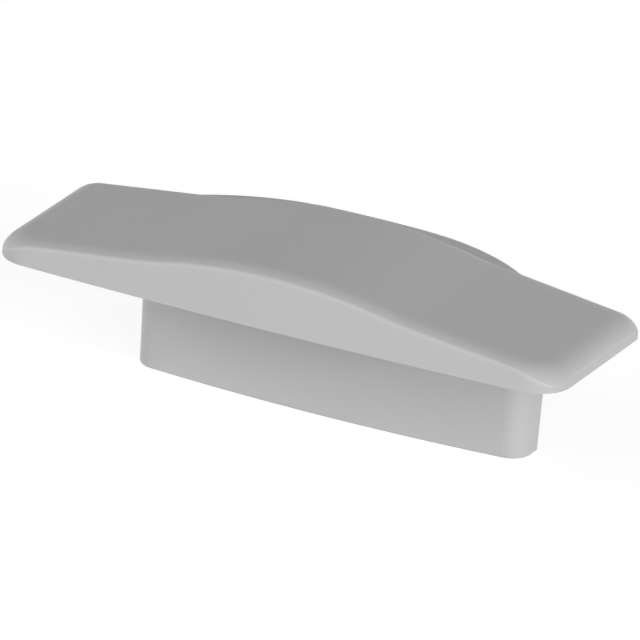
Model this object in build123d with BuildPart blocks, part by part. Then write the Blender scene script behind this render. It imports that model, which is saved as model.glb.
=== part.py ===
from build123d import *
import math
import os

# One moulded end cap for a flat profile: a cover plate with a domed top, and a plug below it.
# The origin is the middle of the plate's underside, which seats on the cut end of the profile.
# X runs along the plate, the lug is on the +Y side, and +Z is up, away from the profile.

# Cover plate seen from above, in millimetres
plate_length = 60.0
plate_depth = 19.34
front_bow = 0.89
front_corner_radius = 3.6
back_corner_radius = 1.35

# Cover plate seen from the front, in millimetres and degrees
end_height = 2.04
wing_slope = 7.32
hump_length = 29.9
crest_rise = 1.74
valley_radius = 38.0
wall_draft = 2.0

# Rim of the top, in millimetres: a wide soft rounding, how far it falls at the long sides and at
# the ends before it meets the wall, how much wider it turns round the corners than the wall does,
# and the tight round where it meets the wall
rim_radius = 2.94
side_drop = 0.63
end_drop = 1.43
front_corner_ease = 1.3
back_corner_ease = 1.0
edge_radius = 0.5

# Low lug behind the back edge, in millimetres
lug_length = 33.3
lug_reach = 4.33
lug_height = 3.45
lug_crown_length = 9.5
lug_crown_radius = 90.0
lug_edge_radius = 0.2

# Plug that slides into the profile, in millimetres and degrees
plug_length = 42.3
plug_end_depth = 4.1
plug_bow = 1.16
plug_setback = 12.61
plug_height = 13.48
plug_front_radius = 2.53
plug_back_radius = 0.5
plug_tip_radius = 0.25
plug_draft = 1.3

# Angles in degrees: the +Y and -Y directions of a sketch, and the steepest face of the domed top
up = 90.0
down = 270.0
steepest_top = 60.0

# Ends and edges of the plate
half_length = plate_length / 2
front_y = -plate_depth / 2
back_y = plate_depth / 2

# The hump's crest arc and valley arcs touch each other and the straight wings without a corner
wing_angle = math.radians(wing_slope)
hump_edge_x = hump_length / 2
hump_edge_z = end_height + (half_length - hump_edge_x) * math.tan(wing_angle)
crest_height = hump_edge_z + crest_rise
run = hump_edge_x + valley_radius * math.sin(wing_angle)
rise = crest_rise + valley_radius * (1 - math.cos(wing_angle))
turn = 2 * math.atan2(rise, run)
centre_distance = run / math.sin(turn)
crest_radius = centre_distance - valley_radius
crest_centre_z = crest_height - crest_radius
valley_centre = (run, crest_centre_z + centre_distance * math.cos(turn))
crest_degrees = math.degrees(turn)

# The rim is rounded on a dome that stands outside the plate by the spread, so that the rounding
# stops short of upright where it meets the plate's wall.
side_width = math.sqrt(2 * rim_radius * side_drop - side_drop**2)
end_width = math.sqrt(2 * rim_radius * end_drop - end_drop**2)
side_spread = rim_radius - side_width
end_spread = rim_radius - end_width
corner_spread = (side_spread + end_spread) / 2

# The dome starts below the plate, and its walls lean in like the plate's on the way up
clear = 2.0
dome_foot = rim_radius + clear
lean = dome_foot * math.tan(math.radians(wall_draft))
blank_height = crest_height + clear
trim_end_x = half_length + end_spread + clear
trim_end_z = end_height - (end_spread + clear) * math.tan(wing_angle)
trim_low_z = -dome_foot - clear
trim_reach = plate_depth / 2 + front_bow + side_spread + clear

# The lug's crown arc runs on into two shoulder arcs without a corner. They pass through the ends
# of its length, on the plate's back edge, and stop inside the plate.
half_lug = lug_length / 2
crown_end_x = lug_crown_length / 2
crown_angle = math.asin(crown_end_x / lug_crown_radius)
lug_crown_degrees = math.degrees(crown_angle)
crown_centre_y = back_y + lug_reach - lug_crown_radius
crown_end_y = crown_centre_y + lug_crown_radius * math.cos(crown_angle)
shoulder_run = half_lug - crown_end_x
shoulder_fall = crown_end_y - back_y
shoulder_bend = math.atan2(shoulder_fall, shoulder_run) - crown_angle
shoulder_radius = math.hypot(shoulder_run, shoulder_fall) / (2 * math.sin(shoulder_bend))
shoulder_centre_x = crown_end_x - shoulder_radius * math.sin(crown_angle)
shoulder_centre_y = crown_end_y - shoulder_radius * math.cos(crown_angle)
lug_root = 1.25
lug_root_y = back_y - lug_root
root_degrees = math.degrees(math.asin((lug_root_y - shoulder_centre_y) / shoulder_radius))
shoulder_degrees = up - lug_crown_degrees - root_degrees

# The plug is set back, at its middle, from the line through the ends of the plate's front edge
half_plug = plug_length / 2
plug_end_y = front_y + plug_setback + plug_bow
plug_back_y = plug_end_y + plug_end_depth


def bowed_outline(half, front, back, bow, front_radius, back_radius):
    """Outline with a bowed front, straight ends and back, and rounded corners."""
    with BuildSketch() as outline:
        with BuildLine():
            front_edge = ThreePointArc((-half, front), (0, front - bow), (half, front))
            Polyline(front_edge @ 1, (half, back), (-half, back), front_edge @ 0)
        make_face()
        fillet(outline.vertices().group_by(Axis.Y)[0], radius=front_radius)
        fillet(outline.vertices().group_by(Axis.Y)[-1], radius=back_radius)
    return outline.sketch


plate_outline = bowed_outline(
    half_length, front_y, back_y, front_bow, front_corner_radius, back_corner_radius
)
dome_outline = bowed_outline(
    half_length + end_spread + lean,
    front_y - side_spread - lean,
    back_y + side_spread + lean,
    front_bow,
    front_corner_radius + front_corner_ease + corner_spread + lean,
    back_corner_radius + back_corner_ease + corner_spread + lean,
)
plug_outline = bowed_outline(
    half_plug, plug_end_y, plug_back_y, plug_bow, plug_front_radius, plug_back_radius
)

# Dome that shapes the top of the plate
with BuildPart() as dome:
    with BuildSketch(Plane.XY.offset(-dome_foot)):
        add(dome_outline)
    extrude(amount=dome_foot + blank_height, taper=wall_draft)

    # Its profile runs straight through from front to back: crest, valleys and straight wings
    with BuildSketch(Plane.XZ):
        with BuildLine():
            CenterArc((0, crest_centre_z), crest_radius, up - crest_degrees, crest_degrees)
            valley = CenterArc(
                valley_centre, valley_radius, down - crest_degrees, crest_degrees - wing_slope
            )
            Polyline(
                valley @ 1, (trim_end_x, trim_end_z), (trim_end_x, trim_low_z), (0, trim_low_z)
            )
            mirror(about=Plane.YZ)
        make_face()
    extrude(amount=trim_reach, both=True, mode=Mode.INTERSECT)

    # Soft rounding: every edge of the top but the seams that cross it from front to back
    dome_top = dome.faces().filter_by(
        lambda face: face.normal_at().Z > math.cos(math.radians(steepest_top))
    )
    seams = dome_top.edges().filter_by(Axis.Y).filter_by_position(
        Axis.X, -half_length + front_corner_radius, half_length - front_corner_radius
    )
    fillet(dome_top.edges() - seams, radius=rim_radius)

with BuildPart() as end_cap:
    # Cover plate: walls that lean in with the mould draft, cut to the dome, and the tight round
    # along the line where the two meet
    extrude(plate_outline, amount=blank_height, taper=wall_draft)
    add(dome.part, mode=Mode.INTERSECT)
    tops = end_cap.faces().filter_by(
        lambda face: face.normal_at().Z > math.cos(math.radians(steepest_top))
    )
    walls = end_cap.faces().filter_by(
        lambda face: abs(face.normal_at().Z) < math.cos(math.radians(steepest_top))
    )
    fillet(tops.edges() & walls.edges(), radius=edge_radius)

    # Low lug: a shallow bump in plan that stands out behind the straight back edge
    with BuildSketch(Plane.XY):
        with BuildLine():
            CenterArc(
                (0, crown_centre_y), lug_crown_radius, up - lug_crown_degrees, lug_crown_degrees
            )
            shoulder = CenterArc(
                (shoulder_centre_x, shoulder_centre_y),
                shoulder_radius,
                root_degrees,
                shoulder_degrees,
            )
            Line(shoulder @ 0, (0, lug_root_y))
            mirror(about=Plane.YZ)
        make_face()
    extrude(amount=lug_height, taper=wall_draft)
    lug_top = end_cap.faces().filter_by(Plane.XY).sort_by(Axis.Z)[-1]
    fillet(lug_top.edges().filter_by(GeomType.CIRCLE), radius=lug_edge_radius)

    # Plug, which narrows towards its tip with the mould draft
    extrude(plug_outline, amount=-plug_height, taper=plug_draft)
    plug_tip = end_cap.faces().sort_by(Axis.Z)[0]
    fillet(plug_tip.edges(), radius=plug_tip_radius)

end_cap.part.label = "end_cap"
os.makedirs("parts", exist_ok=True)
export_step(end_cap.part, "parts/end_cap.step")
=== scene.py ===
import math

import bpy
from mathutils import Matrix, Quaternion, Vector


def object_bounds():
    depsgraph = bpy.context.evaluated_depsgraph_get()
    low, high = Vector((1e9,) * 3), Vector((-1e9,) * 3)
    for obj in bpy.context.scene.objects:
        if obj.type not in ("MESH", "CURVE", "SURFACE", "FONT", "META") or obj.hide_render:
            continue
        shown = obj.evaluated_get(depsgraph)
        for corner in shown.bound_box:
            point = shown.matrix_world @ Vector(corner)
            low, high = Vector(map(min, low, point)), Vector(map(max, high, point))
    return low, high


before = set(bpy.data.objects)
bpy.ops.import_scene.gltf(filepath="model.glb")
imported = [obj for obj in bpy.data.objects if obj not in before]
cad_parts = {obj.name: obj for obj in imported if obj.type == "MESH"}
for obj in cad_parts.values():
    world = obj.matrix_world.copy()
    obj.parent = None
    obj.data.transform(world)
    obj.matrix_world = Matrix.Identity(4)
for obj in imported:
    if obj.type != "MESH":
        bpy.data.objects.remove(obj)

# A moulded profile end cap in satin light grey plastic, standing on its plug on a pale floor.
# Lengths are in metres in the part's own frame: X along the plate, Y towards the lug, Z up.

cad_low, cad_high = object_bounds()
mm = 0.001

# Camera: the photograph's view, from the front right and a little above
view_azimuth = 24.92
view_elevation = 21.98
view_roll = 4.25
view_distance = 1619.4 * mm
view_aim = Vector((0.89, -0.5, -2.05)) * mm
camera_lens = 956.25

# Plastic: linear grey of the moulded surface, how rough it is, how much both drift over patches
# of the melt, and the size and detail of the patches
plastic_grey = 0.5
plastic_roughness = 0.5
plastic_ior = 1.46
tone_drift = 0.02
roughness_drift = 0.05
melt_size = 14 * mm
melt_detail = 2.0

# Fine grain of the mould: its size, the detail in it, its height, and how strongly it shows
grain_size = 0.35 * mm
grain_detail = 3.0
grain_height = 0.02 * mm
grain_strength = 0.2

# Lights: name, azimuth and elevation in degrees seen from the part, spread in degrees, strength.
# The sky adds its own level from all sides.
soft_lights = (
    ("left", -90.0, 5.0, 25.0, 0.74),
    ("left_high", -60.0, 25.0, 25.0, 0.7),
    ("front_left", -30.0, 5.0, 25.0, 0.81),
    ("front_high", 0.0, 50.0, 25.0, 0.28),
    ("right", 70.0, 5.0, 25.0, 2.28),
    ("right_high", 45.0, 25.0, 25.0, 0.98),
    ("back_right", 150.0, 5.0, 25.0, 0.3),
    ("back", 188.0, 5.0, 25.0, 0.22),
)
sky_level = 0.06

# Floor: its half width and its grey. Where the camera or a reflection sees it, it glows at the
# white level, and its grey is the darker one that only shows the shadow.
floor_half = 2.5
floor_grey = 0.8
shadow_grey = 0.25
white_level = 0.88
white = (1.0, 1.0, 1.0, 1.0)


def direction(azimuth, elevation):
    """Unit vector from the part towards a place seen at this azimuth and elevation, in degrees."""
    a = math.radians(azimuth)
    e = math.radians(elevation)
    return Vector((math.sin(a) * math.cos(e), -math.cos(a) * math.cos(e), math.sin(e)))


def noise(tree, place, size, detail):
    """A noise texture whose patches are about this wide."""
    texture = tree.nodes.new("ShaderNodeTexNoise")
    texture.inputs["Scale"].default_value = 1 / size
    texture.inputs["Detail"].default_value = detail
    tree.links.new(place, texture.inputs["Vector"])
    return texture.outputs["Fac"]


def spread_about(tree, value, middle, drift):
    """A value from 0 to 1 turned into a range about the middle."""
    mapped = tree.nodes.new("ShaderNodeMapRange")
    mapped.inputs["To Min"].default_value = middle - drift
    mapped.inputs["To Max"].default_value = middle + drift
    tree.links.new(value, mapped.inputs["Value"])
    return mapped.outputs["Result"]


def make_plastic():
    """Satin moulded plastic: a light grey with a fine grain and soft patches of tone and gloss."""
    material = bpy.data.materials.new("satin_plastic")
    material.use_nodes = True
    tree = material.node_tree
    shader = tree.nodes["Principled BSDF"]
    shader.inputs["IOR"].default_value = plastic_ior
    place = tree.nodes.new("ShaderNodeTexCoord").outputs["Object"]

    # Slow drift of the melt, in colour and gloss
    melt = noise(tree, place, melt_size, melt_detail)
    tone = spread_about(tree, melt, plastic_grey, plastic_grey * tone_drift)
    tree.links.new(tone, shader.inputs["Base Color"])
    gloss = spread_about(tree, melt, plastic_roughness, roughness_drift)
    tree.links.new(gloss, shader.inputs["Roughness"])

    # Grain, in height
    bump = tree.nodes.new("ShaderNodeBump")
    bump.inputs["Strength"].default_value = grain_strength
    bump.inputs["Distance"].default_value = grain_height
    grain = noise(tree, place, grain_size, grain_detail)
    tree.links.new(grain, bump.inputs["Height"])
    tree.links.new(bump.outputs["Normal"], shader.inputs["Normal"])
    return material


def background_rays(tree):
    """A socket that is 1 for rays that see the background, straight or in a reflection."""
    path = tree.nodes.new("ShaderNodeLightPath")
    either = tree.nodes.new("ShaderNodeMath")
    either.operation = "MAXIMUM"
    tree.links.new(path.outputs["Is Camera Ray"], either.inputs[0])
    tree.links.new(path.outputs["Is Glossy Ray"], either.inputs[1])
    return either.outputs["Value"]


def diffuse(tree, grey):
    """A plain matt shader."""
    shader = tree.nodes.new("ShaderNodeBsdfDiffuse")
    shader.inputs["Color"].default_value = (grey, grey, grey, 1.0)
    return shader.outputs["BSDF"]


def make_floor():
    """A wide pale floor under the plug's tip. It is seen white, with the part's soft shadow."""
    material = bpy.data.materials.new("pale_floor")
    material.use_nodes = True
    tree = material.node_tree
    tree.nodes.clear()
    glow = tree.nodes.new("ShaderNodeEmission")
    glow.inputs["Strength"].default_value = white_level
    seen = tree.nodes.new("ShaderNodeAddShader")
    tree.links.new(diffuse(tree, shadow_grey), seen.inputs[0])
    tree.links.new(glow.outputs["Emission"], seen.inputs[1])
    mix = tree.nodes.new("ShaderNodeMixShader")
    tree.links.new(background_rays(tree), mix.inputs["Fac"])
    tree.links.new(diffuse(tree, floor_grey), mix.inputs[1])
    tree.links.new(seen.outputs["Shader"], mix.inputs[2])
    output = tree.nodes.new("ShaderNodeOutputMaterial")
    tree.links.new(mix.outputs["Shader"], output.inputs["Surface"])

    mesh = bpy.data.meshes.new("floor")
    corners = [
        (-floor_half, -floor_half, cad_low.z),
        (floor_half, -floor_half, cad_low.z),
        (floor_half, floor_half, cad_low.z),
        (-floor_half, floor_half, cad_low.z),
    ]
    mesh.from_pydata(corners, [], [(0, 1, 2, 3)])
    mesh.materials.append(material)
    floor = bpy.data.objects.new("floor", mesh)
    bpy.context.scene.collection.objects.link(floor)


def make_world():
    """An even pale room, which is white where the background is seen."""
    world = bpy.data.worlds.new("room")
    world.use_nodes = True
    bpy.context.scene.world = world
    tree = world.node_tree
    level = tree.nodes["Background"]
    level.inputs["Color"].default_value = white
    strength = tree.nodes.new("ShaderNodeMapRange")
    strength.inputs["To Min"].default_value = sky_level
    strength.inputs["To Max"].default_value = 1.0
    tree.links.new(background_rays(tree), strength.inputs["Value"])
    tree.links.new(strength.outputs["Result"], level.inputs["Strength"])


def make_lights():
    """Broad soft lights that shine on the part from far away."""
    for name, azimuth, elevation, spread, strength in soft_lights:
        lamp = bpy.data.lights.new(name, "SUN")
        lamp.energy = strength
        lamp.angle = math.radians(spread)
        light = bpy.data.objects.new(name, lamp)
        light.rotation_mode = "QUATERNION"
        towards = direction(azimuth, elevation)
        light.rotation_quaternion = towards.to_track_quat("Z", "Y")
        bpy.context.scene.collection.objects.link(light)


def make_camera():
    """The photograph's camera: a long lens, slightly rolled."""
    data = bpy.data.cameras.new("camera")
    data.lens = camera_lens
    data.clip_end = 2 * view_distance
    camera = bpy.data.objects.new("camera", data)
    back = direction(view_azimuth, view_elevation)
    roll = Quaternion((0, 0, 1), math.radians(view_roll))
    camera.location = view_aim + back * view_distance
    camera.rotation_mode = "QUATERNION"
    camera.rotation_quaternion = back.to_track_quat("Z", "Y") @ roll
    bpy.context.scene.collection.objects.link(camera)
    bpy.context.scene.camera = camera


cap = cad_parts["end_cap"]
plastic = make_plastic()
for slot in cap.material_slots:
    slot.material = plastic

make_floor()
make_world()
make_lights()
make_camera()
bpy.context.scene.view_settings.view_transform = "Standard"
